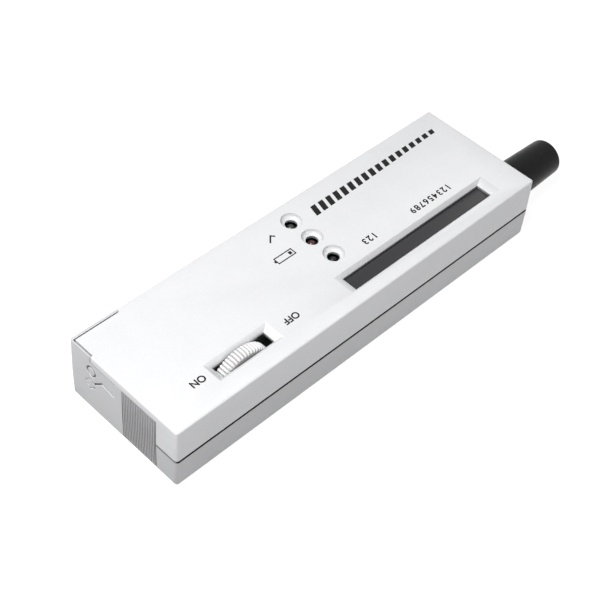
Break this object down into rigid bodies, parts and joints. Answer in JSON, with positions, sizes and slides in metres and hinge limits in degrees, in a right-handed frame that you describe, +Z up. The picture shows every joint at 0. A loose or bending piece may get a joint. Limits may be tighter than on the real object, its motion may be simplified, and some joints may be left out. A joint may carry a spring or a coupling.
{
  "type": "diamond tester",
  "caption": "Hand-held thermal diamond tester: flat silver box with thumbwheel switch, bar window, indicator lamps, sliding battery door and a sprung probe under a pull-off cap.",
  "frame": {"origin": "centre of the flat underside of the housing", "axes": "+X along the housing towards the probe, +Y towards the long side with the battery door's leg, +Z up through the face with the wheel and the window"},
  "size_m": [0.1752, 0.045, 0.0238],
  "materials": {
    "silver_paint": "silver paint on plastic, satin",
    "black_plastic": "moulded, satin",
    "smoked_lens": "smoked, polished",
    "white_plastic": "moulded, satin",
    "green_board": "solder resist",
    "red_lamp": "clear tinted",
    "green_lamp": "clear tinted",
    "clear_lamp": "clear",
    "chip_black": "moulded, dull",
    "blue_sleeve": "shrink sleeve",
    "steel": "plated",
    "copper": "bare copper, polished",
    "battery_jacket": "printed steel jacket, stood in for by plastic",
    "red_wire": "insulation",
    "black_wire": "insulation",
    "ceramic": "glazed bead"
  },
  "bodies": {
    "housing": {"upper_housing": "silver_paint", "lower_housing": "silver_paint", "display_window": "smoked_lens", "potentiometer_body": "black_plastic", "circuit_board": "green_board", "board_screw_1": "steel", "board_screw_2": "steel", "case_screw_1": "steel", "case_screw_2": "steel", "case_screw_3": "steel", "case_screw_4": "steel", "bar_lamp_01": "red_lamp", "bar_lamp_02": "red_lamp", "bar_lamp_03": "red_lamp", "bar_lamp_04": "red_lamp", "bar_lamp_05": "red_lamp", "bar_lamp_06": "red_lamp", "bar_lamp_07": "green_lamp", "bar_lamp_08": "green_lamp", "bar_lamp_09": "green_lamp", "bar_lamp_10": "green_lamp", "bar_lamp_11": "green_lamp", "bar_lamp_12": "green_lamp", "ready_lamp": "green_lamp", "battery_lamp": "red_lamp", "alert_lamp": "clear_lamp", "bar_driver_chip": "chip_black", "amplifier_chip": "chip_black", "buzzer": "chip_black", "heater_transistor": "chip_black", "smoothing_capacitor": "blue_sleeve", "battery": "battery_jacket", "battery_plus_terminal": "steel", "battery_minus_terminal": "steel", "battery_snap": "black_plastic", "red_lead": "red_wire", "black_lead": "black_wire", "probe_nose": "black_plastic", "probe_sleeve": "steel", "probe_holder": "black_plastic", "probe_spring": "steel", "probe_lead_1": "red_wire", "probe_lead_2": "black_wire"},
    "door": {"battery_door": "silver_paint"},
    "wheel": {"thumbwheel": "white_plastic", "thumbwheel_screw": "steel", "potentiometer_shaft": "steel"},
    "cap": {"protective_cap": "black_plastic"},
    "tip": {"probe_tip": "copper", "heater_bead": "ceramic"}
  },
  "joints": [
    {"name": "wheel_turn", "type": "hinge", "parent": "housing", "child": "wheel", "pos_m": [-0.0428, -0.0129, 0.0133], "axis": [0, -1, 0], "range_deg": [0, 290]},
    {"name": "door_slide", "type": "slide", "parent": "housing", "child": "door", "axis": [0, 1, 0], "range_m": [0, 0.036]},
    {"name": "cap_pull", "type": "slide", "parent": "housing", "child": "cap", "axis": [1, 0, 0], "range_m": [0, 0.03]},
    {"name": "tip_press", "type": "slide", "parent": "housing", "child": "tip", "axis": [-1, 0, 0], "range_m": [0, 0.0012], "stiffness_N_per_m": 800, "springref_m": -0.001, "deforming": ["probe_spring"]}
  ]
}
